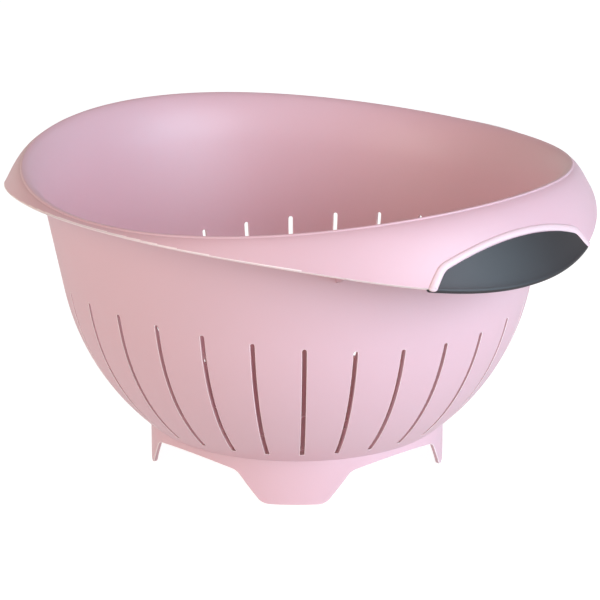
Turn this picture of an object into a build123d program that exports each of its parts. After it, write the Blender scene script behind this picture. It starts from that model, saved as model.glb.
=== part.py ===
from build123d import *
import math
import os

# Kitchen colander, free standing, with two hooded handles.
# The real bowl is one moulding: a slotted basket of revolution with a perforated floor, a foot ring with
# four feet, and a rim that rises and widens into a hood at each handle. Here it is made as the parts that
# a designer would draw, which meet face to face: basket, foot ring, flared rim and the two handle hoods.
# A soft grip pad is moulded onto the lower lip of each hood, inside a raised bead. Long slots run round
# the belly, and their tops follow the rim.
# Lengths are in millimetres. Z is up, the feet stand on z = 0, and the handles lie along X.
# Angles round the bowl are measured from the +X handle, and the bowl is mirrored about X and Y.

# Walls and joints
wall = 2.0
ring_wall = 2.2
match_tolerance = 0.02
cut_overrun = 5.0

# Basket: flat floor, round belly and straight drafted wall. The belly's rise is a share of its radius.
floor_height = 13.0
floor_corner_radius = 14.0
belly_radius = 111.2
belly_rise_share = 0.6745
draft_angle = 11.5

# Foot ring, which meets the belly above its four arches and so stands on four feet.
# The arches' half widths are shares of the ring's radius.
ring_height = 21.86
arch_margin = 3.26
arch_rise = 3.4
arch_shoulder_share = 0.385
arch_base_share = 0.543
arch_fillet = 6.0
foot_corner = 6.0

# Slots round the belly, between margins above the foot ring and below the rim
slot_count = 30
slot_width = 2.1
slot_foot_margin = 5.34
slot_head_margin = 27.8
slot_top_wave = 5.4

# Holes through the floor, in rings, with a margin to the floor's rounded corner
hole_diameter = 2.6
hole_margin = 5.88
hole_rings = 4
holes_per_ring = 6

# Rim: the crest is a circle that rises to the handles, and the lip is the hood's lower edge.
# The flare reaches out from the straight wall to the crest. The lip reaches out from the crest and drops
# below it by amounts at the handle, a third and two thirds of the way to the side, and at the side.
crest_height = 148.4
crest_wave = 5.15
flare_height = 22.0
flare_reach = 10.59
handle_reach = 21.4
near_reach = 14.8
far_reach = 6.7
side_reach = 5.2
handle_drop = 33.25
near_drop = 21.575
far_drop = 7.025
side_drop = 1.25
rim_joint_drop = 3.25

# Webs that close the ends of each handle's hood
web_angle = 35.0
web_wall = 1.6
web_drop = 9.6

# Grip pads, which rise from the lip, and the bead round them, as seen along X.
# Below the corners, the sides lean out from upright by an angle in degrees.
pad_rise = 19.5
pad_arc_radius = 118.0
pad_corner_width = 43.0
pad_side_lean = 40.0
pad_corner_radius = 12.0
pad_depth = 1.0
pad_proud = 0.5
bead_width = 2.65
bead_proud = 0.9
bead_root = 0.6
lip_wrap = 2.0

# How full each curved stretch of the rim is, as shares of that stretch
crest_pull_share = 0.42
lip_pull_share = 0.15
lip_tuck_share = 0.1
flare_rise_share = 0.42
flare_turn_share = 0.36

# Degrees between the rim's sections, and round a quarter of the bowl
section_step = 15
quarter_turn = 90

# Sizes worked out from the ones above
draft = math.tan(math.radians(draft_angle))
wall_across = wall / math.cos(math.radians(draft_angle))
belly_height = floor_height + belly_rise_share * belly_radius
belly_center_height = belly_height + draft * belly_radius
belly_sphere_radius = belly_radius / math.cos(math.radians(draft_angle))
corner_reach = belly_sphere_radius - floor_corner_radius
corner_drop = belly_center_height - floor_height - floor_corner_radius
floor_radius = math.sqrt(corner_reach**2 - corner_drop**2)
hole_pitch = (floor_radius - hole_margin) / hole_rings
ring_radius = math.sqrt(belly_sphere_radius**2 - (belly_center_height - ring_height) ** 2)
arch_height = ring_height - arch_margin
arch_shoulder_height = arch_height - arch_rise
arch_half_width = arch_shoulder_share * ring_radius
arch_base_half_width = arch_base_share * ring_radius
rim_joint_height = crest_height - crest_wave - flare_height - rim_joint_drop
slot_bottom = ring_height + slot_foot_margin
slot_top = rim_joint_height - slot_head_margin
crest_radius = belly_radius + draft * (crest_height - flare_height - belly_height) + flare_reach
lip_height = crest_height + crest_wave - handle_drop
pad_top = lip_height + pad_rise
pad_corner_height = pad_top - pad_arc_radius + math.sqrt(pad_arc_radius**2 - pad_corner_width**2)
beyond_rim = 2 * (crest_radius + handle_reach)


def wall_radius(height):
    """Outer radius of the straight upper wall at a height."""
    return belly_radius + draft * (height - belly_height)


def along_x(outline):
    """An outline drawn across Y and up Z, set upright in the middle of the bowl, facing +X."""
    return Plane(origin=(0, 0, 0), x_dir=(0, 1, 0), z_dir=(1, 0, 0)) * outline


def wave(values, angle):
    """A smooth even wave through values at equal steps from the handle (0) to the side (90 degrees)."""
    steps = len(values) - 1
    ends = (0, steps)
    total = 0
    for order in range(steps + 1):
        amount = 0
        for index, value in enumerate(values):
            amount += value * math.cos(math.pi * order * index / steps) / (2 if index in ends else 1)
        total += amount * math.cos(2 * order * angle) / (2 if order in ends else 1)
    return total * 2 / steps


def offset_chain(points, distance):
    """Control points moved sideways, to the left of the way they run, with each leg kept parallel."""
    normals = []
    for start, end in zip(points, points[1:]):
        leg = (end - start).normalized()
        normals.append(Vector(-leg.Y, leg.X))
    moved = [points[0] + normals[0] * distance]
    for point, before, after in zip(points[1:], normals, normals[1:]):
        middle = (before + after).normalized()
        moved.append(point + middle * (distance / middle.dot(before)))
    moved.append(points[-1] + normals[-1] * distance)
    return moved


class RimSection:
    """The rim's curves in the upright half plane at one angle. Flat points are radius and height."""

    def __init__(self, angle):
        self.angle = angle
        reach = wave((handle_reach, near_reach, far_reach, side_reach), angle)
        down = wave((handle_drop, near_drop, far_drop, side_drop), angle)
        self.crest = Vector(crest_radius, crest_height + crest_wave * math.cos(2 * angle))
        self.lip = self.crest + Vector(reach, -down)
        self.lip_way = Vector(lip_tuck_share, -lip_pull_share).normalized()
        self.lip_out = Vector(-self.lip_way.Y, self.lip_way.X)
        self.lip_pull = down * math.hypot(lip_tuck_share, lip_pull_share)

    def hood(self, inset):
        """The hood's curve from crest to lip, set in from its outer face by an inset."""
        crest = self.crest - Vector(0, inset)
        lip = self.lip - self.lip_out * inset
        crest_pull = Vector(crest_pull_share * (lip.X - crest.X), 0)
        return [crest, crest + crest_pull, lip - self.lip_way * self.lip_pull, lip]

    def flare(self, inset):
        """The inner wall's curve from the straight wall out to the crest, set into the wall by an inset."""
        base_z = self.crest.Y - flare_height
        base = Vector(wall_radius(base_z) - wall_across, base_z)
        rise = Vector(draft, 1) * (flare_rise_share * flare_height)
        turn = Vector(flare_turn_share * (self.crest.X - base.X), 0)
        curve = offset_chain([base, base + rise, self.crest - turn, self.crest], -inset)
        curve[0] = base + Vector(wall_across * inset / wall, 0)
        return curve

    def place(self, point):
        return Vector(point.X * math.cos(self.angle), point.X * math.sin(self.angle), point.Y)

    def curve(self, points):
        return Edge.make_bezier(*[self.place(point) for point in points])

    def chain(self, *points):
        """Straight edges from point to point."""
        return [Edge.make_line(self.place(start), self.place(end)) for start, end in zip(points, points[1:])]

    def flared_wall(self):
        """The wall from its joint with the basket, outwards and up to the crest."""
        flare, outer = self.flare(0), self.flare(wall)
        joint_out = Vector(wall_radius(rim_joint_height), rim_joint_height)
        joint_in = joint_out - Vector(wall_across, 0)
        edges = [self.curve(flare)]
        edges += self.chain(flare[3], outer[3])
        edges.append(self.curve(outer[::-1]))
        edges += self.chain(outer[0], joint_out, joint_in, flare[0])
        return Wire(edges)

    def hood_wall(self):
        """The hood from the crest down to its lip."""
        hood, under = self.hood(0), self.hood(wall)
        edges = [self.curve(hood)]
        edges += self.chain(hood[3], under[3])
        edges.append(self.curve(under[::-1]))
        edges += self.chain(under[0], hood[0])
        return Wire(edges)

    def cover(self, proud, depth):
        """A skin over the hood and round its lip, proud of the wall on both faces and let into it."""
        outer, inner = self.hood(-proud), self.hood(depth)
        under = self.lip - self.lip_out * wall
        beneath = under - self.lip_out * proud
        tip = self.lip_way * proud
        back = self.lip_way * -lip_wrap
        inner[3] += back
        edges = [self.curve(outer)]
        edges += self.chain(outer[3], self.lip + tip, under + tip, beneath, beneath + back, inner[3])
        edges.append(self.curve(inner[::-1]))
        edges += self.chain(inner[0], outer[0])
        return Wire(edges)

    def web(self):
        """An upright web under the hood, which ends in the middle of the walls that it joins."""
        hood, flare = self.hood(wall / 2), self.flare(wall / 2)
        foot_z = self.lip.Y - web_drop
        foot = Vector(wall_radius(foot_z) - wall_across / 2, foot_z)
        edges = [self.curve(flare), self.curve(hood)]
        edges += self.chain(hood[3], foot, flare[0])
        return Face(Wire(edges))


def rim_loft(make_wire, first, last):
    """A loft through the rim's sections from one angle to another, in degrees."""
    wires = []
    for degrees in range(first, last + 1, section_step):
        wires.append(make_wire(RimSection(math.radians(degrees))))
    return Solid.make_loft(wires)


def quarter_of_rim(make_wire):
    """A loft past both ends of the first quarter, trimmed at the planes that the bowl is mirrored about."""
    overlap = 2 * section_step
    loft_past = rim_loft(make_wire, -overlap, quarter_turn + overlap)
    corner = (Align.MIN, Align.MIN, Align.MIN)
    return loft_past & Box(beyond_rim, beyond_rim, beyond_rim, align=corner)


def make_rim():
    """The flared wall above the basket, all the way round."""
    quarter = quarter_of_rim(RimSection.flared_wall)
    half = quarter + mirror(quarter, Plane.XZ)
    return half + mirror(half, Plane.YZ)


def arc_about(center, radius, start, end):
    """An arc in the XZ plane about a centre, between two angles above the X axis."""
    points = []
    for angle in (start, (start + end) / 2, end):
        points.append(center + Vector(radius * math.cos(angle), 0, radius * math.sin(angle)))
    return Edge.make_three_point_arc(*points)


def basket_profile(inset):
    """The wall's outer face from the middle of the floor to the rim's joint, set in by an inset."""
    belly_center = Vector(0, 0, belly_center_height)
    corner_center = Vector(floor_radius, 0, floor_height + floor_corner_radius)
    meeting = -math.asin(corner_drop / corner_reach)
    corner = arc_about(corner_center, floor_corner_radius - inset, -math.pi / 2, meeting)
    belly = arc_about(belly_center, belly_sphere_radius - inset, meeting, -math.radians(draft_angle))
    top = Vector(wall_radius(rim_joint_height) - wall_across * inset / wall, 0, rim_joint_height)
    floor = Edge.make_line(Vector(0, 0, floor_height + inset), corner @ 0)
    return [floor, corner, belly, Edge.make_line(belly @ 1, top)]


def make_basket():
    """Floor, belly and straight upper wall, turned as one shape of even thickness."""
    outer, inner = basket_profile(0), basket_profile(wall)
    ends = [Edge.make_line(outer[0] @ 0, inner[0] @ 0), Edge.make_line(outer[-1] @ 1, inner[-1] @ 1)]
    return revolve(Face(Wire(outer + inner + ends)), axis=Axis.Z)


def make_slots():
    """Upright slots at equal steps, half a step either side of the handles, round at the top."""
    cutters = []
    for index in range(slot_count):
        turn = (index + 1 / 2) * math.tau / slot_count
        top = slot_top - slot_top_wave * math.cos(2 * turn) - slot_width / 2
        shaft = Pos(0, (slot_bottom + top) / 2) * Rectangle(slot_width, top - slot_bottom)
        outline = shaft + Pos(0, top) * Circle(slot_width / 2)
        cutters.append(Rot(0, 0, math.degrees(turn)) * extrude(along_x(outline), beyond_rim))
    return cutters


def make_floor_holes():
    """One hole in the middle and rings of holes round it, each ring with more holes than the last."""
    drill = Pos(0, 0, floor_height) * Cylinder(hole_diameter / 2, 2 * wall + cut_overrun)
    holes = [drill]
    for ring in range(1, hole_rings + 1):
        holes += PolarLocations(ring * hole_pitch, ring * holes_per_ring) * drill
    return holes


def corners_at(outline, height):
    """The outline's corners at a height, apart from those at its outer ends."""
    reach = arch_base_half_width + wall
    return outline.vertices().filter_by(lambda at: abs(at.Y - height) < match_tolerance and abs(at.X) < reach)


def make_foot_ring():
    """A short upright ring under the belly, cut away from below between its four feet."""
    bowl = basket_profile(0)
    brim = bowl[-1] @ 1
    bowl.append(Edge.make_line(brim, Vector(0, 0, brim.Z)))
    bowl.append(Edge.make_line(Vector(0, 0, brim.Z), bowl[0] @ 0))
    ring = extrude(Circle(ring_radius) - Circle(ring_radius - ring_wall), ring_height + wall)
    ring -= revolve(Face(Wire(bowl)), axis=Axis.Z)
    left = [
        Vector(-ring_radius, -cut_overrun),
        Vector(-ring_radius, 0),
        Vector(-arch_base_half_width, 0),
        Vector(-arch_half_width, arch_shoulder_height),
    ]
    right = [Vector(-point.X, point.Y) for point in reversed(left)]
    crown = Edge.make_three_point_arc(left[3], Vector(0, arch_height), right[0])
    sides = Wire.make_polygon(left, close=False).edges()
    sides += Wire.make_polygon(right + [left[0]], close=False).edges()
    outline = Face(Wire(sides + [crown]))
    outline = fillet(corners_at(outline, arch_shoulder_height), arch_fillet)
    outline = fillet(corners_at(outline, 0), foot_corner)
    arch = extrude(along_x(outline), ring_radius + cut_overrun)
    return ring - [Rot(0, 0, turn * quarter_turn) * arch for turn in range(4)]


def make_webs():
    """Thin upright webs at both ends of the +X hood."""
    webs = []
    for side in (-1, 1):
        section = RimSection(math.radians(side * web_angle))
        across = Vector(-math.sin(section.angle), math.cos(section.angle), 0)
        webs.append(extrude(section.web(), web_wall / 2, dir=across, both=True))
    return webs


def pad_outline(grow):
    """The pad's outline seen along X, grown by a margin and run on below the lip, as a long block."""
    corner = Vector(pad_corner_width, pad_corner_height)
    lean = math.radians(pad_side_lean)
    down = Vector(math.sin(lean), -math.cos(lean))
    margin = Vector(-down.Y, down.X) * grow
    above = corner + margin - down * pad_corner_radius
    below = corner + margin + down * (2 * pad_rise)
    skirt = Wire.make_polygon([above, below, Vector(-below.X, below.Y), Vector(-above.X, above.Y)])
    disc = Pos(0, pad_top - pad_arc_radius) * Circle(pad_arc_radius + grow)
    outline = disc & Face(skirt)
    shoulders = outline.vertices().filter_by(lambda point: point.Y > lip_height)
    return extrude(along_x(fillet(shoulders, pad_corner_radius + grow)), beyond_rim)


def make_pad():
    """The soft pad of the +X handle."""
    span = 2 * section_step
    return rim_loft(lambda section: section.cover(pad_proud, pad_depth), -span, span) & pad_outline(0)


def make_bead():
    """The raised bead of the +X handle, which frames the pad."""
    span = 2 * section_step
    skin = rim_loft(lambda section: section.cover(bead_proud, bead_root), -span, span)
    return (skin & pad_outline(bead_width)) - pad_outline(0)


def make_handle(basket, rim, pad):
    """The +X half of the hood, with its webs and bead, and with room cut for its pad."""
    quarter = quarter_of_rim(RimSection.hood_wall)
    hood = quarter + mirror(quarter, Plane.XZ)
    return hood + [web - rim - basket for web in make_webs()] + make_bead() - pad


turned = make_basket()
rim = make_rim()
pad = make_pad()
handle = make_handle(turned, rim, pad)
half_turn = Rot(0, 0, 2 * quarter_turn)
parts = {
    "basket": turned - make_slots() - make_floor_holes(),
    "foot_ring": make_foot_ring(),
    "rim": rim,
    "handle_front": handle,
    "handle_back": half_turn * handle,
    "grip_front": pad,
    "grip_back": half_turn * pad,
}
os.makedirs("parts", exist_ok=True)
for name, shape in parts.items():
    export_step(shape, f"parts/{name}.step")
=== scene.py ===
import math

import bmesh
import bpy
from mathutils import Matrix, Vector


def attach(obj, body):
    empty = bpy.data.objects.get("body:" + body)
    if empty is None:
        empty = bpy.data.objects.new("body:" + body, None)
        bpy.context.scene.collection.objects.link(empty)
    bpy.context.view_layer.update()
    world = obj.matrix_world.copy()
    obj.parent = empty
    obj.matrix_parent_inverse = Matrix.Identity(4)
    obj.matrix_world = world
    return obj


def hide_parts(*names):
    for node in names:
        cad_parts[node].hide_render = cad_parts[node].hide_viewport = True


# Kitchen colander: one pink moulding with slots, a foot ring and two hooded handles, and two soft grips.
# The moulding is rolled out flat as a disc of rows and columns, cut, thickened and then folded up into the
# bowl, so that its rows run from the floor up the wall, over the crest and down the hood to the lip.
# Sizes are in millimetres until a mesh is finished. Angles go round from the front handle, along +X.
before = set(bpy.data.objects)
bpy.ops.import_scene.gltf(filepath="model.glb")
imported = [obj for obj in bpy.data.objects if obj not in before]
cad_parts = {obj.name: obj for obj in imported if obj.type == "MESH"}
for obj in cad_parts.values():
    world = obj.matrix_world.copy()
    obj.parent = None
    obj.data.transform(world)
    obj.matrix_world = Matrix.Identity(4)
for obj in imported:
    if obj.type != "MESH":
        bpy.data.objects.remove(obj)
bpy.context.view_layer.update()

MM = 0.001
TINY = 1e-4
weld = 0.01
halvings = 30
run_probe = 0.001
width_probe = 0.01

# Walls
wall = 2.0
ring_wall = 2.2

# Basket
floor_height = 13.0
floor_corner_radius = 14.0
belly_radius = 111.2
belly_rise_share = 0.6745
draft_angle = math.radians(11.5)

# Foot ring
ring_height = 21.86
arch_margin = 3.26
arch_rise = 3.4
arch_shoulder_share = 0.385
arch_base_share = 0.543
arch_bend = 6.0
ring_seat_share = 0.4
crown_steps = 13
bend_steps = 5
ring_steps = 5
ring_rows = 6

# Slots
slot_count = 30
slot_width = 2.1
slot_foot_margin = 5.34
slot_head_margin = 27.8
slot_top_wave = 5.4

# Floor holes
hole_diameter = 2.6
hole_margin = 5.88
hole_rings = 4
holes_per_ring = 6
hole_sides = 16

# Rim and hoods
crest_height = 148.4
crest_wave = 5.15
flare_height = 22.0
flare_reach = 10.59
lip_reaches = (21.4, 14.8, 6.7, 5.2)
lip_drops = (33.25, 21.575, 7.025, 1.25)
rim_joint_drop = 3.25
crest_pull_share = 0.42
lip_pull_share = 0.15
lip_tuck_share = 0.1
flare_rise_share = 0.42
flare_turn_share = 0.36

# A fine rib stands along the crest: a narrow flat with its outer edge rounded down to the hood
rib_flat = 0.35
rib_round = 0.6

# Webs under the hoods
web_angle = math.radians(35)
web_wall = 1.6
web_drop = 9.6
web_flare_steps, web_hood_steps = 8, 12

# Grips and the beads round them
pad_rise = 19.5
pad_arc_radius = 118.0
pad_corner_width = 43.0
pad_side_lean = math.radians(40)
pad_corner_blend = 1.8
pad_proud = 0.44
pad_depth = 0.5
pad_wrap = 2.0
pad_nose_ease = 0.45
pad_nose_spread = 0.088
bead_width = 3.3
bead_end_width = 4.2
bead_widening_power = 4
bead_proud = 0.9
bead_tuck = 0.4
nose_length = math.pi * wall / 2
pad_columns, pad_face_rows, pad_nose_rows, pad_back_rows = 56, 14, 8, 3
bead_steps, tuck_steps, bead_sides = 40, 8, 14

# Rounded edges, and how far from the middle of the lip's nose the lip gets the painted highlight
slot_edge, slot_edge_steps = 0.55, 2
lip_edge, lip_edge_steps = 0.9, 4
ring_edge, ring_edge_steps = 0.45, 2
pad_edge, pad_edge_steps = 0.4, 3
sharp_angle = math.radians(40)
# Painted highlight: rounded edges, the lip and the beads are painted a lighter pink, standing in for light caught
# on thin plastic edges
painted_highlight = "painted_highlight"
lip_highlight_reach = 1.05
bead_highlight_share = 0.35

# Sizes worked out from the ones above
draft = math.tan(draft_angle)
wall_across = wall / math.cos(draft_angle)
belly_height = floor_height + belly_rise_share * belly_radius
belly_center_height = belly_height + draft * belly_radius
belly_sphere_radius = belly_radius / math.cos(draft_angle)
corner_reach = belly_sphere_radius - floor_corner_radius
corner_drop = belly_center_height - floor_height - floor_corner_radius
floor_radius = math.sqrt(corner_reach**2 - corner_drop**2)
hole_pitch = (floor_radius - hole_margin) / hole_rings
ring_radius = math.sqrt(belly_sphere_radius**2 - (belly_center_height - ring_height) ** 2)
slot_bottom = ring_height + slot_foot_margin
slot_top = crest_height - crest_wave - flare_height - rim_joint_drop - slot_head_margin
crest_radius = belly_radius + draft * (crest_height - flare_height - belly_height) + flare_reach
lip_height = crest_height + crest_wave - lip_drops[0]
pad_top = lip_height + pad_rise
hood_bottom = lip_height - wall

# Rows of the rolled-out bowl, counted outwards from the floor's edge. Its wall is one deep until it is folded
half_row = 0.5
rolled_out_wall = 1
corner_end = 4
slot_start = corner_end + 3
slot_end = slot_start + 22
flare_start = slot_end + 7
crest_row = flare_start + 9
rib_rows = 5
rib_row = crest_row + 1 + rib_rows
lip_row = rib_row + 13

# Columns of one slot's sector, from -1 to 1: five steps across the slot and wider ones beside it
sector_half = math.pi / slot_count
slot_share = 0.09
slot_columns = [slot_share * math.sin(math.pi * step / 10) for step in (-5, -3, -1, 1, 3, 5)]
side_columns = [0.15, 0.3625, 0.575, 0.7875, 1.0]
sector_columns = [-side for side in reversed(side_columns)] + slot_columns + side_columns


def flat(x, y):
    return Vector((x, y))


def wave(values, angle):
    """A smooth even wave through values at equal steps from the handle (0) to the side (90 degrees)."""
    steps = len(values) - 1
    total = 0
    for order in range(steps + 1):
        amount = 0
        for index, value in enumerate(values):
            amount += value * math.cos(math.pi * order * index / steps) / (2 if index in (0, steps) else 1)
        total += amount * math.cos(2 * order * angle) / (2 if order in (0, steps) else 1)
    return total * 2 / steps


def bezier(points, share):
    rest = 1 - share
    return (
        points[0] * rest**3
        + points[1] * (3 * rest * rest * share)
        + points[2] * (3 * rest * share * share)
        + points[3] * share**3
    )


def offset_chain(points, distance):
    """Control points moved sideways, to the left of the way they run, with each leg kept parallel."""
    normals = []
    for start, end in zip(points, points[1:]):
        leg = (end - start).normalized()
        normals.append(flat(-leg.y, leg.x))
    moved = [points[0] + normals[0] * distance]
    for point, before, after in zip(points[1:], normals, normals[1:]):
        middle = (before + after).normalized()
        moved.append(point + middle * (distance / middle.dot(before)))
    moved.append(points[-1] + normals[-1] * distance)
    return moved


def wall_radius(height):
    return belly_radius + draft * (height - belly_height)


def basket_radius(height, inner):
    """Radius of the belly or the straight wall at a height, on the inner or the outer face."""
    sphere = belly_sphere_radius - (wall if inner else 0)
    below = belly_center_height - height
    if below > sphere * math.sin(draft_angle):
        return math.sqrt(sphere**2 - below**2)
    return wall_radius(height) - (wall_across if inner else 0)


class RimSection:
    """The rim's curves in the upright half plane at one angle. Flat points are radius and height."""

    known = {}

    def __init__(self, angle):
        reach, down = wave(lip_reaches, angle), wave(lip_drops, angle)
        self.crest = flat(crest_radius, crest_height + crest_wave * math.cos(2 * angle))
        self.lip = self.crest + flat(reach, -down)
        self.reach = reach
        self.lip_way = flat(lip_tuck_share, -lip_pull_share).normalized()
        self.lip_out = flat(-self.lip_way.y, self.lip_way.x)
        self.lip_pull = down * math.hypot(lip_tuck_share, lip_pull_share)
        self.base_height = self.crest.y - flare_height
        self.rib_foot = (rib_flat + rib_round) / (3 * crest_pull_share * reach)
        self.hoods = (self.hood(0), self.hood(wall))
        self.flares = (self.flare(0), self.flare(wall))

    @classmethod
    def at(cls, angle):
        key = round(angle, 7)
        if key not in cls.known:
            cls.known[key] = cls(angle)
        return cls.known[key]

    def hood(self, inset):
        crest = self.crest - flat(0, inset)
        lip = self.lip - self.lip_out * inset
        return [crest, crest + flat(crest_pull_share * self.reach, 0), lip - self.lip_way * self.lip_pull, lip]

    def flare(self, inset):
        base = flat(wall_radius(self.base_height) - wall_across, self.base_height)
        rise = flat(draft, 1) * (flare_rise_share * flare_height)
        turn = flat(flare_turn_share * (self.crest.x - base.x), 0)
        curve = offset_chain([base, base + rise, self.crest - turn, self.crest], -inset)
        curve[0] = base + flat(wall_across * inset / wall, 0)
        return curve

    def rib_drop(self, run):
        """How far the hood's outer face lies below its full height: most beside the rib, nothing at the lip."""
        past = (run - self.rib_foot) / (1 - self.rib_foot)
        return rib_round * (1 - past**2)

    def hood_point(self, run, lift):
        """A point on the hood and round its lip. Run is 0 at the crest and 1 at the lip; past 1 it counts
        millimetres round the lip's nose and back underneath. Lift stands the point off the surface."""
        if run <= 1:
            ahead = bezier(self.hoods[0], min(run + TINY, 1)) - bezier(self.hoods[0], max(run - TINY, 0))
            out = flat(-ahead.y, ahead.x).normalized()
            return bezier(self.hoods[0], run) + out * lift - flat(0, self.rib_drop(run))
        turn = min((run - 1) / nose_length, 1) * math.pi
        middle = self.lip - self.lip_out * (wall / 2)
        out = self.lip_out * math.cos(turn) + self.lip_way * math.sin(turn)
        back = max(run - 1 - nose_length, 0)
        return middle + out * (wall / 2 + lift) - self.lip_way * back


def stand_up(point, angle):
    """A flat point of radius and height, turned into place round the bowl."""
    return Vector((point.x * math.cos(angle), point.x * math.sin(angle), point.y))


def new_piece(name, mesh, slot, finish, *nodes):
    """A finished mesh in millimetres made into a piece that rides on the bowl and stands for CAD nodes."""
    mesh.transform(Matrix.Scale(MM, 4))
    data = bpy.data.meshes.new(name)
    mesh.to_mesh(data)
    mesh.free()
    data.shade_smooth()
    data.materials.append(finish)
    piece = bpy.data.objects.new(name, data)
    bpy.context.scene.collection.objects.link(piece)
    weigh = piece.modifiers.new("even_shading", "WEIGHTED_NORMAL")
    weigh.use_face_influence = True
    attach(piece, "root")
    if nodes:
        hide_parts(*nodes)
    return piece


def highlight_layer(mesh):
    """Where each face keeps how much painted highlight it gets. A new layer is made before faces are picked."""
    return mesh.faces.layers.float.get(painted_highlight) or mesh.faces.layers.float.new(painted_highlight)


def round_edges(mesh, edges, width, segments, strength="ALL"):
    """Rounded edges, marked for the painted highlight, which leave the faces beside them their own shading."""
    highlight = highlight_layer(mesh)
    rounded_off = bmesh.ops.bevel(
        mesh,
        geom=edges,
        offset=width,
        offset_type="OFFSET",
        segments=segments,
        profile=0.5,
        affect="EDGES",
        material=-1,
        clamp_overlap=True,
        face_strength_mode=strength,
    )
    for face in rounded_off["faces"]:
        face[highlight] = 1.0


def sharp_edges(mesh, keep=lambda edge: True):
    return [edge for edge in mesh.edges if edge.is_manifold and edge.calc_face_angle() > sharp_angle and keep(edge)]


def face_outwards(mesh):
    if mesh.calc_volume(signed=True) < 0:
        bmesh.ops.reverse_faces(mesh, faces=mesh.faces)


# The moulding's skin


def rolled_out_place(corner):
    """Sector, column, row and side of a corner of the rolled-out bowl."""
    turn = math.atan2(corner.co.y, corner.co.x) % math.tau
    sector = min(int(turn / (2 * sector_half)), slot_count - 1)
    middle = (2 * sector + 1) * sector_half
    column = (turn - middle) / sector_half
    row = math.hypot(corner.co.x, corner.co.y) - floor_radius
    return middle, column, row, corner.co.z > 0


def column_angle(middle, column, radius):
    """The angle of a column, with a slot's sides kept parallel whatever the radius."""
    half = math.asin(slot_width / 2 / min(radius, belly_radius)) / sector_half
    size = abs(column)
    if size <= slot_share:
        moved = size * half / slot_share
    else:
        moved = half + (size - slot_share) * (1 - half) / (1 - slot_share)
    return middle + math.copysign(moved, column) * sector_half


def basket_point(middle, column, row, inner):
    """Radius and height of a row below the flare."""
    sphere = belly_sphere_radius - (wall if inner else 0)
    meeting = math.atan2(corner_drop, floor_radius)
    if row <= corner_end:
        swing = math.pi / 2 + (meeting - math.pi / 2) * row / corner_end
        radius = floor_corner_radius - (wall if inner else 0)
        return flat(
            floor_radius + radius * math.cos(swing),
            floor_height + floor_corner_radius - radius * math.sin(swing),
        )
    if row < slot_start:
        lowest_slot = math.asin((belly_center_height - slot_bottom) / sphere)
        share = (row - corner_end) / (slot_start - corner_end)
        swing = meeting + (lowest_slot - meeting) * share
        return flat(sphere * math.cos(swing), belly_center_height - sphere * math.sin(swing))
    own_angle = middle + (column * sector_half if abs(column) > slot_share else 0)
    spring = slot_top - slot_top_wave * math.cos(2 * own_angle) - slot_width / 2
    if row <= slot_end:
        height = slot_bottom + (spring - slot_bottom) * (row - slot_start) / (slot_end - slot_start)
        if row > slot_end - half_row and abs(column) < slot_share:
            height += math.sqrt(1 - (column / slot_share) ** 2) * slot_width / 2
    else:
        base_height = RimSection.at(middle + column * sector_half).base_height
        height = spring + (base_height - spring) * (row - slot_end) / (flare_start - slot_end)
    return flat(basket_radius(height, inner), height)


def hood_run(section, row):
    """How far along the hood a row lies, and how far its outer face lies below the top of the rib."""
    if row <= rib_row:
        turn = math.pi / 2 * (row - crest_row - 1) / rib_rows
        across = rib_flat + rib_round * math.sin(turn)
        return section.rib_foot * across / (rib_flat + rib_round), rib_round * (1 - math.cos(turn))
    run = section.rib_foot + (1 - section.rib_foot) * (row - rib_row) / (lip_row - rib_row)
    return run, section.rib_drop(run)


def fold_up(corner):
    """Where a corner of the rolled-out bowl belongs on the finished one."""
    middle, column, row, inner = rolled_out_place(corner)
    if row < -TINY:
        return Vector((corner.co.x, corner.co.y, floor_height + (wall if inner else 0)))
    row = round(row)
    if row < flare_start:
        point = basket_point(middle, column, row, inner)
        return stand_up(point, column_angle(middle, column, point.x))
    angle = column_angle(middle, column, belly_radius)
    section = RimSection.at(angle)
    side = 0 if inner else 1
    if row <= crest_row:
        point = bezier(section.flares[side], (row - flare_start) / (crest_row - flare_start))
    else:
        run, step = hood_run(section, row)
        point = bezier(section.hoods[side], run)
        if inner:
            point = point - flat(0, step)
    return stand_up(point, angle)


def lies_on_lip(face):
    """Whether a face lies within the lip's rounding."""
    middle = face.calc_center_median()
    section = RimSection.at(math.atan2(middle.y, middle.x))
    place = flat(middle.xy.length, middle.z)
    return (place - section.lip + section.lip_out * wall / 2).length < lip_highlight_reach


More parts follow.
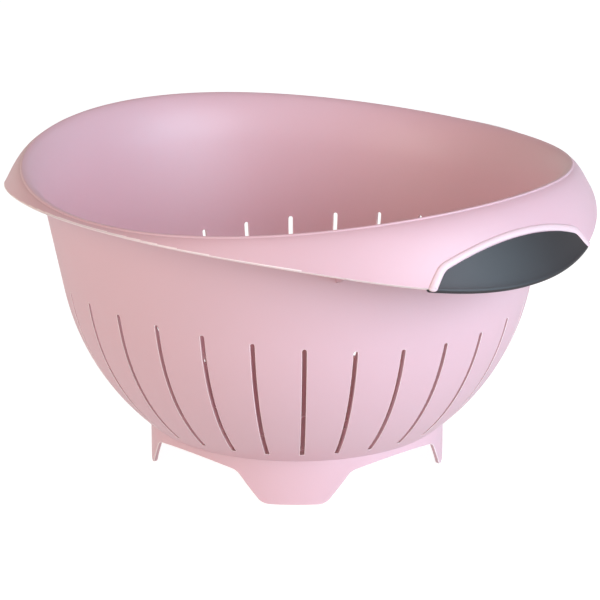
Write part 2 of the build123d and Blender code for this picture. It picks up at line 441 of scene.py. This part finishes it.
def make_bowl():
    """The whole moulding from floor to lip, with its slots and holes, as one wall of even thickness."""
    bowl = bmesh.new()
    spine = [bowl.verts.new((floor_radius + row, 0, 0)) for row in range(lip_row + 1)]
    strand = spine + [bowl.edges.new(pair) for pair in zip(spine, spine[1:])]
    for sector in range(slot_count):
        for start, end in zip(sector_columns, sector_columns[1:]):
            turned = bmesh.ops.spin(
                bowl,
                geom=strand,
                cent=(0, 0, 0),
                axis=(0, 0, 1),
                angle=(end - start) * sector_half,
                steps=1,
                use_merge=False,
            )
            strand = turned["geom_last"]
    bmesh.ops.remove_doubles(bowl, verts=bowl.verts, dist=weld)

    slots = []
    for face in bowl.faces:
        middle = face.calc_center_median()
        turn = math.atan2(middle.y, middle.x) % math.tau
        column = (turn / sector_half) % 2 - 1
        row = middle.length - floor_radius
        if abs(column) < slot_share and slot_start < row < slot_end:
            slots.append(face)
    bmesh.ops.delete(bowl, geom=slots, context="FACES")

    floor_reach = floor_radius + half_row
    rims = [edge for edge in bowl.edges if edge.is_boundary and edge.verts[0].co.length < floor_reach]
    spots = [Vector((0, 0, 0))]
    for ring in range(1, hole_rings + 1):
        count = ring * holes_per_ring
        for index in range(count):
            turn = math.tau * index / count
            spots.append(Vector((math.cos(turn), math.sin(turn), 0)) * (ring * hole_pitch))
    for spot in spots:
        circle = bmesh.ops.create_circle(
            bowl, segments=hole_sides, radius=hole_diameter / 2, matrix=Matrix.Translation(spot)
        )
        rims += list({edge for corner in circle["verts"] for edge in corner.link_edges})
    bmesh.ops.triangle_fill(bowl, edges=rims, use_beauty=True)
    bmesh.ops.recalc_face_normals(bowl, faces=bowl.faces)
    bmesh.ops.solidify(bowl, geom=bowl.faces[:], thickness=rolled_out_wall)
    lowest = min(corner.co.z for corner in bowl.verts)
    bmesh.ops.translate(bowl, verts=bowl.verts, vec=(0, 0, -lowest - rolled_out_wall / 2))

    lip_reach = floor_radius + lip_row - half_row
    lip = {corner for corner in bowl.verts if corner.co.xy.length > lip_reach}
    places = [fold_up(corner) for corner in bowl.verts]
    for corner, place in zip(bowl.verts, places):
        corner.co = place
    face_outwards(bowl)
    bowl.normal_update()
    at_lip = sharp_edges(bowl, lambda edge: lip.issuperset(edge.verts))
    at_slots = sharp_edges(bowl, lambda edge: not lip.intersection(edge.verts))
    round_edges(bowl, at_slots, slot_edge, slot_edge_steps)
    round_edges(bowl, [edge for edge in at_lip if edge.is_valid], lip_edge, lip_edge_steps, "NEW")
    # Faces on the lip's rounding get the painted highlight; the rest of the hood and the crest get none
    highlight = highlight_layer(bowl)
    for face in bowl.faces:
        if face.calc_center_median().z > hood_bottom:
            face[highlight] = float(lies_on_lip(face))
    return bowl


# Foot ring


def rounded(corners, radii, steps):
    """An outline through corners, each rounded to its radius with a few steps."""
    outline = [corners[0]]
    for before, corner, after, radius in zip(corners, corners[1:], corners[2:], radii):
        arrive, leave = (before - corner).normalized(), (after - corner).normalized()
        half = arrive.angle(leave) / 2
        reach = radius / math.tan(half)
        center = corner + (arrive + leave).normalized() * (radius / math.sin(half))
        first, last = corner + arrive * reach - center, corner + leave * reach - center
        for step in range(steps + 1):
            spoke = first.lerp(last, step / steps).normalized() * radius
            outline.append(center + spoke)
    outline.append(corners[-1])
    return outline


def make_foot_ring():
    """The arched ring: the lower edge of one eighth, drawn up to the belly, given its wall and repeated round."""
    arch_top = ring_height - arch_margin
    shoulder = flat(arch_shoulder_share * ring_radius, arch_top - arch_rise)
    base = flat(arch_base_share * ring_radius, 0)
    sole_end = flat(ring_radius * math.sin(math.pi / 4), 0)
    crown_radius = (shoulder.x**2 + arch_rise**2) / (2 * arch_rise)
    lower = []
    for step in range(crown_steps):
        y = shoulder.x * step / (crown_steps + 1)
        lower.append(flat(y, arch_top - crown_radius + math.sqrt(crown_radius**2 - y**2)))
    bends = rounded([lower[-1], shoulder, base, sole_end], (arch_bend, arch_bend), bend_steps)[1:-1]
    shoulder_bend, base_bend = bends[: bend_steps + 1], bends[bend_steps + 1 :]
    lower += shoulder_bend
    lower += [shoulder_bend[-1].lerp(base_bend[0], step / ring_steps) for step in range(1, ring_steps)]
    lower += base_bend
    lower += [base_bend[-1].lerp(sole_end, step / ring_steps) for step in range(1, ring_steps + 1)]

    ring = bmesh.new()
    corners = [ring.verts.new((point.x, point.y, 0)) for point in lower]
    raised = [ring.edges.new(pair) for pair in zip(corners, corners[1:])]
    for row in range(ring_rows):
        grown = bmesh.ops.extrude_edge_only(ring, edges=raised)["geom"]
        moved = [part for part in grown if isinstance(part, bmesh.types.BMVert)]
        bmesh.ops.translate(ring, verts=moved, vec=(0, 0, 1))
        raised = [part for part in grown if isinstance(part, bmesh.types.BMEdge)]
    bmesh.ops.recalc_face_normals(ring, faces=ring.faces)
    back = bmesh.ops.extrude_face_region(ring, geom=ring.faces[:], use_keep_orig=True)["geom"]
    inner = {part for part in back if isinstance(part, bmesh.types.BMVert)}
    open_ends = []
    for face in ring.faces:
        reaches = [corner.co.x for corner in face.verts]
        if max(reaches) < TINY or min(reaches) > sole_end.x - TINY:
            open_ends.append(face)
    bmesh.ops.delete(ring, geom=open_ends, context="FACES")

    for corner in ring.verts:
        radius = ring_radius - (ring_wall if corner in inner else 0)
        across = corner.co.x
        square = math.asin(across / radius) if across < base.x else math.asin(base.x / radius)
        past = max(0, (across - base.x) / (sole_end.x - base.x))
        angle = square + (math.pi / 4 - square) * past
        top = basket_underside(radius) + wall * ring_seat_share
        height = corner.co.y + (top - corner.co.y) * corner.co.z / ring_rows
        corner.co = Vector((radius * math.cos(angle), radius * math.sin(angle), height))

    bmesh.ops.mirror(ring, geom=ring.verts[:] + ring.edges[:] + ring.faces[:], axis="Y", merge_dist=0)
    bmesh.ops.spin(
        ring,
        geom=ring.verts[:] + ring.edges[:] + ring.faces[:],
        cent=(0, 0, 0),
        axis=(0, 0, 1),
        angle=math.tau * 3 / 4,
        steps=3,
        use_duplicate=True,
    )
    bmesh.ops.remove_doubles(ring, verts=ring.verts, dist=weld)
    bmesh.ops.recalc_face_normals(ring, faces=ring.faces)
    ring.normal_update()
    round_edges(ring, sharp_edges(ring), ring_edge, ring_edge_steps)
    return ring


def basket_underside(radius):
    return belly_center_height - math.sqrt(belly_sphere_radius**2 - radius**2)


# Webs, beads and grips of one handle


def make_webs():
    """The two upright webs under the front hood."""
    webs = bmesh.new()
    for side in (-1, 1):
        angle = side * web_angle
        section = RimSection.at(angle)
        across = Vector((-math.sin(angle), math.cos(angle), 0)) * (web_wall / 2)
        flare, hood = section.flare(wall / 2), section.hood(wall / 2)
        foot_height = section.lip.y - web_drop
        outline = [bezier(flare, step / web_flare_steps) for step in range(web_flare_steps)]
        outline += [bezier(hood, step / web_hood_steps) for step in range(web_hood_steps + 1)]
        outline.append(flat(wall_radius(foot_height) - wall_across / 2, foot_height))
        corners = [webs.verts.new(stand_up(point, angle) - across) for point in outline]
        face = webs.faces.new(corners)
        raised = bmesh.ops.extrude_face_region(webs, geom=[face], use_keep_orig=True)["geom"]
        moved = [corner for corner in raised if isinstance(corner, bmesh.types.BMVert)]
        bmesh.ops.translate(webs, verts=moved, vec=across * 2)
    bmesh.ops.recalc_face_normals(webs, faces=webs.faces)
    return webs


def pad_outline_height(width):
    """Height of the grip's upper edge at a distance from the handle's middle, as seen along X."""
    size = min(abs(width), pad_arc_radius)
    arc = pad_top - pad_arc_radius + math.sqrt(pad_arc_radius**2 - size**2)
    corner = pad_top - pad_arc_radius + math.sqrt(pad_arc_radius**2 - pad_corner_width**2)
    side = corner - (size - pad_corner_width) / math.tan(pad_side_lean)
    near = max(pad_corner_blend - abs(arc - side), 0)
    return min(arc, side) - near * near / (4 * pad_corner_blend)


def closed_in(low, high, is_short):
    """The last value found short and the first found far enough, closed in on by halving."""
    for _ in range(halvings):
        middle = (low + high) / 2
        if is_short(middle):
            low = middle
        else:
            high = middle
    return low, high


def hood_meeting(angle, outline):
    """How far along the hood it crosses an outline seen along X, at one angle."""
    section = RimSection.at(angle)

    def above_outline(run):
        point = bezier(section.hoods[0], run)
        return point.y > outline(point.x * math.sin(angle))

    return closed_in(0.0, 1.0, above_outline)[1]


def widest_angle(outline):
    """The angle at which an outline comes down to the lip."""

    def over_lip(angle):
        lip = RimSection.at(angle).lip
        return outline(lip.x * math.sin(angle)) > lip.y

    return closed_in(0.0, web_angle, over_lip)[0]


def hood_place(angle, run, lift):
    return stand_up(RimSection.at(angle).hood_point(run, lift), angle)


def hood_frame(angle, run):
    """A point on the hood's outer face and the way out of it there."""
    around = hood_place(angle + run_probe, run, 0) - hood_place(angle - run_probe, run, 0)
    if run <= 1:
        before, after = max(run - run_probe, 0), min(run + run_probe, 1)
    else:
        before, after = max(run - run_probe, 1 + TINY), run + run_probe
    ahead = hood_place(angle, after, 0) - hood_place(angle, before, 0)
    return hood_place(angle, run, 0), ahead.cross(around).normalized() * -1


def spaced(share):
    """Steps from -1 to 1 that are closer together towards both ends."""
    return share * (1.5 - 0.5 * share**2)


def make_pad():
    """The front grip: a skin from its upper edge down to the lip, round the nose and back underneath."""
    rows = pad_face_rows + pad_nose_rows + pad_back_rows
    widest = widest_angle(pad_outline_height)
    pad = bmesh.new()
    bmesh.ops.create_grid(pad, x_segments=pad_columns, y_segments=rows, size=0.5)
    bmesh.ops.solidify(pad, geom=pad.faces[:], thickness=1)
    middle = sum(corner.co.z for corner in pad.verts) / len(pad.verts)
    for corner in pad.verts:
        angle = widest * spaced(corner.co.x * 2)
        row = round((corner.co.y + 0.5) * rows)
        top = hood_meeting(angle, pad_outline_height)
        turned = min(max(row - pad_face_rows, 0) / pad_nose_rows, 1)
        if row <= pad_face_rows:
            run = top + (1 - top) * row / pad_face_rows
        else:
            back = max(row - pad_face_rows - pad_nose_rows, 0) / pad_back_rows
            run = 1 + nose_length * turned + pad_wrap * back
        ease = pad_nose_ease * math.sin(turned * math.pi) * (1 - abs(angle) / widest)
        lift = pad_proud - ease if corner.co.z > middle else -pad_depth
        angle *= 1 + pad_nose_spread * math.sin(turned * math.pi / 2)
        corner.co = hood_place(angle, run, lift)
    face_outwards(pad)
    pad.normal_update()
    round_edges(pad, sharp_edges(pad), pad_edge, pad_edge_steps)
    return pad


def make_bead():
    """The raised bead round the front grip, drawn along the grip's outline and tucked under the lip."""

    def outline(width):
        rise = pad_outline_height(width + width_probe) - pad_outline_height(width - width_probe)
        return pad_outline_height(width) + bead_width / 2 * math.hypot(1, rise / (2 * width_probe))

    widest = widest_angle(outline)
    path = []
    for step in range(-bead_steps, bead_steps + 1):
        angle = widest * spaced(step / bead_steps)
        path.append((angle, hood_meeting(angle, outline), 1))
    tuck = []
    for step in range(1, tuck_steps):
        tuck.append((1 + bead_tuck * nose_length * step / tuck_steps, 1 - step / tuck_steps))
    path = [(-widest, *place) for place in reversed(tuck)] + path + [(widest, *place) for place in tuck]
    frames = [hood_frame(angle, run) for angle, run, size in path]
    bead = bmesh.new()
    loops = []
    for index, (place, out) in enumerate(frames):
        before, after = frames[max(index - 1, 0)][0], frames[min(index + 1, len(frames) - 1)][0]
        along = (after - before).normalized()
        across = along.cross(out).normalized()
        out = across.cross(along).normalized()
        stand = Matrix((
            (across.x, out.x, along.x, place.x),
            (across.y, out.y, along.y, place.y),
            (across.z, out.z, along.z, place.z),
            (0, 0, 0, 1),
        ))
        angle, run, size = path[index]
        width = bead_width + (bead_end_width - bead_width) * abs(angle / widest) ** bead_widening_power
        shrink = math.sqrt(1 - (1 - size) ** 2)
        stretch = Matrix.Diagonal((width / 2 * shrink, bead_proud * shrink, 1, 1))
        circle = bmesh.ops.create_circle(bead, segments=bead_sides, radius=1, matrix=stand @ stretch)
        loops.append(list({edge for corner in circle["verts"] for edge in corner.link_edges}))
    for first, second in zip(loops, loops[1:]):
        bmesh.ops.bridge_loops(bead, edges=first + second)
    for ends in (loops[0], loops[-1]):
        bmesh.ops.edgeloop_fill(bead, edges=ends)
    # The whole bead gets a share of the painted highlight
    highlight = highlight_layer(bead)
    for face in bead.faces:
        face[highlight] = bead_highlight_share
    bmesh.ops.recalc_face_normals(bead, faces=bead.faces)
    return bead


def both_handles(make, name, slot, finish, *nodes):
    """The same piece at the front handle and, half a turn round, at the back one."""
    for place, turn in (("front", 0), ("back", math.pi)):
        mesh = make()
        bmesh.ops.rotate(mesh, verts=mesh.verts, cent=(0, 0, 0), matrix=Matrix.Rotation(turn, 3, "Z"))
        new_piece(f"{name}_{place}", mesh, slot, finish, *[f"{node}_{place}" for node in nodes])


# Finishes


class Socket:
    """One output among a finish's nodes, so that sums and products can be written as they are read."""

    def __init__(self, finish, link):
        self.finish = finish
        self.link = link

    def math(self, operation, first, second):
        return self.finish.node("ShaderNodeMath", {"operation": operation}, {0: first, 1: second})

    def __add__(self, other):
        return self.math("ADD", self, other)

    def __mul__(self, other):
        return self.math("MULTIPLY", self, other)

    __radd__ = __add__
    __rmul__ = __mul__


class Finish:
    """The nodes of a material or of the light all round. Patterns are placed in the object's own metres."""

    def __init__(self, owner):
        owner.use_nodes = True
        self.owner = owner
        self.tree = owner.node_tree

    def node(self, kind, settings, values, output=0):
        made = self.tree.nodes.new(kind)
        for name, value in settings.items():
            setattr(made, name, value)
        for name, value in values.items():
            self.connect(made.inputs[name], value)
        return Socket(self, made.outputs[output])

    def connect(self, socket, value):
        if isinstance(value, Socket):
            self.tree.links.new(value.link, socket)
        else:
            socket.default_value = value

    def noise(self, scale, detail):
        place = self.node("ShaderNodeTexCoord", {}, {}, "Object")
        return self.node("ShaderNodeTexNoise", {}, {"Vector": place, "Scale": scale, "Detail": detail}, "Fac")

    def blend(self, share, first, second):
        return self.node("ShaderNodeMix", {"data_type": "RGBA"}, {0: share, 6: first, 7: second}, 2)

    def bump(self, values):
        return self.node("ShaderNodeBump", {}, values, "Normal")

    def paint(self, values, shader="Principled BSDF"):
        for name, value in values.items():
            self.connect(self.tree.nodes[shader].inputs[name], value)
        return self.owner


def pink_moulding():
    """Semi-gloss moulded plastic: faint clouds, fine tool texture, slow waves, and a painted highlight that
    lightens thin edges and the beads.
    """
    finish = Finish(bpy.data.materials.new("pink_moulding"))
    cloud, speckle = finish.noise(14, 3), finish.noise(420, 2)
    body = finish.blend(cloud, (0.70, 0.42, 0.46, 1), (0.74, 0.45, 0.49, 1))
    # Painted highlight: the edge mask lightens the base colour on rounded edges, the lip and the beads
    edge = finish.node("ShaderNodeAttribute", {"attribute_name": painted_highlight}, {}, "Fac")
    grain = finish.bump({"Height": finish.noise(1900, 2), "Strength": 0.05, "Distance": 0.0002})
    waves = finish.bump({"Height": finish.noise(38, 1), "Strength": 0.05, "Distance": 0.002, "Normal": grain})
    return finish.paint({
        "Base Color": finish.blend(0.9 * edge, body, (1.0, 0.80, 0.78, 1)),
        "Roughness": 0.40 + 0.08 * cloud + 0.04 * speckle,
        "Normal": waves,
        "Subsurface Weight": 0.08,
        "Subsurface Radius": (0.004, 0.002, 0.002),
        "Subsurface Scale": 1.0,
        "Coat Weight": 0.14,
        "Coat Roughness": 0.30,
    })


def soft_grip():
    """Soft matt rubber in dark slate, with a fine stipple."""
    finish = Finish(bpy.data.materials.new("soft_grip"))
    cloud = finish.noise(30, 3)
    stipple = finish.bump({"Height": finish.noise(2600, 2), "Strength": 0.12, "Distance": 0.0002})
    return finish.paint({
        "Base Color": finish.blend(cloud, (0.024, 0.017, 0.018, 1), (0.034, 0.025, 0.026, 1)),
        "Roughness": 0.44 + 0.12 * cloud,
        "Normal": stipple,
    })


def pale_floor():
    """White paper, lit from behind so that it stays pale under the bowl."""
    finish = Finish(bpy.data.materials.new("pale_floor"))
    seen = finish.node("ShaderNodeLightPath", {}, {}, "Is Camera Ray")
    return finish.paint({
        "Base Color": (0.25, 0.25, 0.25, 1),
        "Roughness": 0.9,
        "Emission Color": finish.blend(seen, (0.54, 0.54, 0.54, 1), (0.93, 0.93, 0.93, 1)),
        "Emission Strength": 1.0,
    })


shell, grip = pink_moulding(), soft_grip()
new_piece("bowl", make_bowl(), "shell", shell, "basket", "rim", "handle_front", "handle_back")
new_piece("foot_ring_moulding", make_foot_ring(), "shell", shell, "foot_ring")
both_handles(make_webs, "hood_webs", "shell", shell)
both_handles(make_bead, "pad_bead", "shell", shell)
both_handles(make_pad, "soft_pad", "grip", grip, "grip")


# Floor, light and camera, in metres

floor_mesh = bmesh.new()
bmesh.ops.create_grid(floor_mesh, x_segments=1, y_segments=1, size=6)
floor_data = bpy.data.meshes.new("floor")
floor_mesh.to_mesh(floor_data)
floor_mesh.free()
floor_data.materials.append(pale_floor())
floor = bpy.data.objects.new("floor", floor_data)
bpy.context.scene.collection.objects.link(floor)

azimuth, elevation = math.radians(46.234), math.radians(17.114)
camera_distance = 1.5045
camera_lens = 188.07
camera_sensor = 36
aim_right, aim_height = 0.001417, 0.07844
lit_height = 0.08
to_camera = Vector((math.sin(azimuth), -math.cos(azimuth), 0))
to_right = Vector((math.cos(azimuth), math.sin(azimuth), 0))
upward = Vector((0, 0, 1))


def place_looking(thing, place, target):
    """Puts a light or the camera in the scene, looking at a target."""
    thing.location = place
    thing.rotation_euler = (target - place).to_track_quat("-Z", "Y").to_euler()
    bpy.context.scene.collection.objects.link(thing)


def soft_light(name, right, front, up, size, power, color):
    """A round soft light, placed as it is seen from the camera."""
    place = to_right * right + to_camera * front + upward * up
    data = bpy.data.lights.new(name, "AREA")
    data.shape = "DISK"
    data.size = size
    data.energy = power
    data.color = color
    place_looking(bpy.data.objects.new(name, data), place, upward * lit_height)


soft_light("right_light", right=1.15, front=1.05, up=0.8, size=1.2, power=14.5, color=(1.0, 0.73, 0.82))
soft_light("low_right_light", right=1.9, front=1.2, up=0.5, size=2.0, power=63, color=(0.41, 0.82, 1.0))
soft_light("front_light", right=0, front=1.6, up=0.5, size=1.4, power=3.7, color=(0.7, 1.0, 0.92))
soft_light("left_light", right=-1.3, front=0.9, up=0.8, size=1.4, power=12, color=(1.0, 0.95, 0.82))

# The light all round comes from behind on the left, and fades towards the front and overhead
studio = Finish(bpy.data.worlds.new("studio"))
ways = studio.node("ShaderNodeTexCoord", {}, {}, "Generated")


def share_towards(way):
    return studio.node("ShaderNodeVectorMath", {"operation": "DOT_PRODUCT"}, {0: ways, 1: way}, "Value")


behind = 0.5 + 0.5 * share_towards(-(to_right + to_camera).normalized())
above = studio.node("ShaderNodeMath", {"operation": "MAXIMUM"}, {0: share_towards(upward), 1: 0.0})
around = studio.blend(behind, (0, 0, 0, 1), (0.82, 0.90, 0.86, 1))
studio.paint({"Color": studio.blend(above, around, (0.16, 0.07, 0.06, 1))}, "Background")
glow = Socket(studio, studio.tree.nodes["Background"].outputs[0])
paper = studio.node("ShaderNodeBackground", {}, {"Color": (1, 1, 1, 1)})
seen = studio.node("ShaderNodeLightPath", {}, {}, "Is Camera Ray")
studio.paint({"Surface": studio.node("ShaderNodeMixShader", {}, {0: seen, 1: glow, 2: paper})}, "World Output")
bpy.context.scene.world = studio.owner
bpy.context.scene.view_settings.view_transform = "Standard"

camera_data = bpy.data.cameras.new("camera")
camera_data.lens = camera_lens
camera_data.sensor_width = camera_sensor
camera = bpy.data.objects.new("camera", camera_data)
aim = to_right * aim_right + upward * aim_height
away = to_camera * math.cos(elevation) + upward * math.sin(elevation)
place_looking(camera, aim + away * camera_distance, aim)
bpy.context.scene.camera = camera
